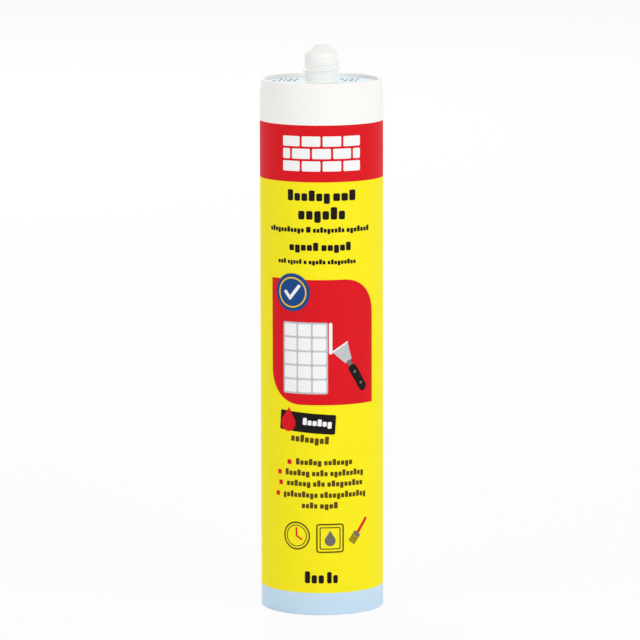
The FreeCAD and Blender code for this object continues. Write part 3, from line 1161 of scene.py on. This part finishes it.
class CARTRIDGE_OT_back(CartridgeOperator, bpy.types.Operator):
    """Prints the back: headings, columns of small words and a white box"""

    bl_idname = "cartridge.print_back"
    bl_label = "Print Back"

    # The first column: its left end and width, the levels of its heading and its first line, the
    # step from line to line, the number of lines, and how full the last one is.
    LEFT = -22.0
    COLUMN = 20.0
    HEADING_LEVEL = 134.4
    LINE_LEVEL = 130.0
    LINE_STEP = 2.6
    LINES = 9
    LAST_LINE = 0.55
    HEADING = (11.0, 5.0)
    HEADING_HEIGHT = 2.0
    HEADING_GAP = 1.0
    TEXT_HEIGHT = 1.1
    # Widths of the small words, the gap after each, and the least space that another still fits in.
    WORD_WIDTHS = (2.2, 6.5)
    WORD_GAP = 0.8
    WORD_SPACE = 2.0
    SEED = 11
    # From one column to the next, to the right and down.
    COLUMN_STEP = 24.0
    BLOCK_STEP = -34.0
    BOX = (0, 24.0, 26.0, 12.0)
    BOX_ROUND = 0.8
    # Each row: left end, height of its middle, height of its blocks, gap, widths of its words.
    ROWS = (
        (-22.0, 44.0, 1.6, 1.2, (12.0, 9.0, 14.0)),
        (-15.0, 165.0, 2.8, 1.4, (14.0, 15.0)),
        (-19.0, 157.0, 1.5, 1.1, (9.0, 7.0, 12.0, 7.0)),
        (-19.0, 148.0, 1.5, 1.1, (13.0, 8.0, 5.0)),
    )

    def make(self, sizes):
        chance = random.Random(self.SEED)
        sheet = self.sheet("back_text_print", sizes)
        for number in range(self.LINES):
            end = self.COLUMN if number < self.LINES - 1 else self.COLUMN * self.LAST_LINE
            z = self.LINE_LEVEL - number * self.LINE_STEP
            x = 0.0
            while end - x > self.WORD_SPACE:
                width = min(chance.uniform(*self.WORD_WIDTHS), end - x)
                sheet.words(self.LEFT + x, z, (width,), 0, self.TEXT_HEIGHT, "brown")
                x += width + self.WORD_GAP
        heading = (self.LEFT, self.HEADING_LEVEL, self.HEADING_HEIGHT, self.HEADING_GAP, self.HEADING)
        sheet.rows([heading])
        sheet.copy_all(self.COLUMN_STEP, 0)
        sheet.copy_all(0, self.BLOCK_STEP)
        sheet.wrap(sizes.barrel_radius, BACK)
        sheet = self.sheet("back_box_print", sizes)
        sheet.bar(*self.BOX, "white", rounding=self.BOX_ROUND)
        sheet.rows(self.ROWS)
        sheet.wrap(sizes.barrel_radius, BACK)


class CARTRIDGE_OT_stage(CartridgeOperator, bpy.types.Operator):
    """Sets up the floor, the lamps, the white surroundings and the camera"""

    bl_idname = "cartridge.set_stage"
    bl_label = "Set Stage"

    FLOOR = 12.0
    FLOOR_DEPTH = 0.02
    SHADOW_SHARE = 0.15
    SENSOR = 36
    # The place that the lamps point at, and each lamp's name, place and side, in metres.
    AIM = Vector((0, 0, 0.11))
    LAMPS = (
        ("key", (1.9, -1.9, 1.3), 2.2),
        ("fill", (-1.7, -1.3, 0.9), 1.6),
        ("back", (-0.6, 2.2, 1.5), 1.2),
    )

    def make(self, sizes):
        studio = bpy.context.scene.cartridge_studio
        self.add_floor()
        for name, place, side in self.LAMPS:
            self.add_lamp(f"{name}_lamp", place, side, getattr(studio, name))
        self.set_world(studio)
        self.add_camera(studio)
        bpy.context.scene.view_settings.view_transform = "Standard"

    @staticmethod
    def seen_directly(finish):
        """1 for rays that show the surroundings themselves, and 0 for rays that light things."""
        rays = finish.node("ShaderNodeLightPath")
        outputs = rays.socket.node.outputs
        others = [Signal(finish, outputs[name]) for name in ("Is Glossy Ray", "Is Transmission Ray")]
        seen = rays
        for other in others:
            seen = seen.math("MAXIMUM", seen, other)
        return seen

    def add_floor(self):
        """A wide pale slab whose shadow stays faint on white."""
        floor = start_piece("floor")
        bpy.ops.mesh.primitive_plane_add(size=self.FLOOR, location=(0, 0, 0))
        down = {"value": (0, 0, -self.FLOOR_DEPTH)}
        bpy.ops.mesh.extrude_region_move(TRANSFORM_OT_translate=down)
        bpy.ops.mesh.select_all(action="SELECT")
        bpy.ops.mesh.normals_make_consistent(inside=False)
        bpy.ops.object.mode_set(mode="OBJECT")
        material = bpy.data.materials.new("floor_white")
        material.use_nodes = True
        finish = Finish(material.node_tree)
        matt = finish.node("ShaderNodeBsdfDiffuse", inputs={"Color": (0.95, 0.95, 0.95, 1)})
        bright = finish.node("ShaderNodeEmission", inputs={"Color": (1, 1, 1, 1), "Strength": 1.0})
        share = self.seen_directly(finish) * (1 - self.SHADOW_SHARE)
        mixed = finish.node("ShaderNodeMixShader", inputs={0: share, 1: matt, 2: bright})
        output = material.node_tree.nodes["Material Output"]
        finish.feed(output, {"Surface": mixed})
        floor.data.materials.append(material)

    def add_lamp(self, name, place, side, power):
        """A square lamp that points at the barrel's middle."""
        bpy.ops.object.light_add(type="AREA", location=place)
        lamp = bpy.context.object
        lamp.name = lamp.data.name = name
        lamp.data.shape = "SQUARE"
        lamp.data.size = side
        lamp.data.energy = power
        way = self.AIM - Vector(place)
        lamp.rotation_euler = way.to_track_quat("-Z", "Y").to_euler()

    def set_world(self, studio):
        """Even light all round, and white where the surroundings are seen."""
        world = bpy.data.worlds.new("surroundings")
        world.use_nodes = True
        bpy.context.scene.world = world
        finish = Finish(world.node_tree)
        seen = self.seen_directly(finish)
        strength = seen * (1 - studio.ambient) + studio.ambient
        finish.feed(world.node_tree.nodes["Background"], {"Color": (1, 1, 1, 1), "Strength": strength})

    def add_camera(self, studio):
        """The camera at the photograph's angle."""
        look = Euler((math.pi / 2 - studio.pitch, 0, 0)).to_matrix()
        look = look @ Matrix.Rotation(studio.roll, 3, "Z")
        bpy.ops.object.camera_add(
            location=(studio.aside, -studio.distance, studio.height), rotation=look.to_euler()
        )
        camera = bpy.context.object
        camera.data.lens = studio.lens
        camera.data.sensor_width = self.SENSOR
        bpy.context.scene.camera = camera


OPERATORS = (
    CARTRIDGE_OT_body,
    CARTRIDGE_OT_paste,
    CARTRIDGE_OT_piston,
    CARTRIDGE_OT_recess_marks,
    CARTRIDGE_OT_bricks,
    CARTRIDGE_OT_titles,
    CARTRIDGE_OT_panel,
    CARTRIDGE_OT_knife,
    CARTRIDGE_OT_badge,
    CARTRIDGE_OT_tag,
    CARTRIDGE_OT_points,
    CARTRIDGE_OT_pictograms,
    CARTRIDGE_OT_brush,
    CARTRIDGE_OT_volume,
    CARTRIDGE_OT_back,
    CARTRIDGE_OT_stage,
)
GROUPS = (
    ("cartridge_sizes", CartridgeSizes),
    ("cartridge_colours", CartridgeColours),
    ("cartridge_studio", CartridgeStudio),
)


class CARTRIDGE_PT_panel(bpy.types.Panel):
    """Lists the cartridge's pieces"""

    bl_idname = "CARTRIDGE_PT_panel"
    bl_label = "Sealant Cartridge"
    bl_space_type = "VIEW_3D"
    bl_region_type = "UI"
    bl_category = "Cartridge"

    def draw(self, context):
        column = self.layout.column(align=True)
        for operator in OPERATORS:
            column.operator(operator.bl_idname)


CLASSES = (*(group for _, group in GROUPS), *OPERATORS, CARTRIDGE_PT_panel)


def register():
    """Makes the operators, the panel and the property groups known."""
    for item in CLASSES:
        bpy.utils.register_class(item)
    for name, group in GROUPS:
        setattr(bpy.types.Scene, name, PointerProperty(type=group))


def unregister():
    """Takes them away again."""
    for name, _ in GROUPS:
        delattr(bpy.types.Scene, name)
    for item in reversed(CLASSES):
        bpy.utils.unregister_class(item)


def main():
    """Makes the whole cartridge and its stage."""
    register()
    for operator in OPERATORS:
        family, name = operator.bl_idname.split(".")
        getattr(getattr(bpy.ops, family), name)()


if __name__ == "__main__":
    main()
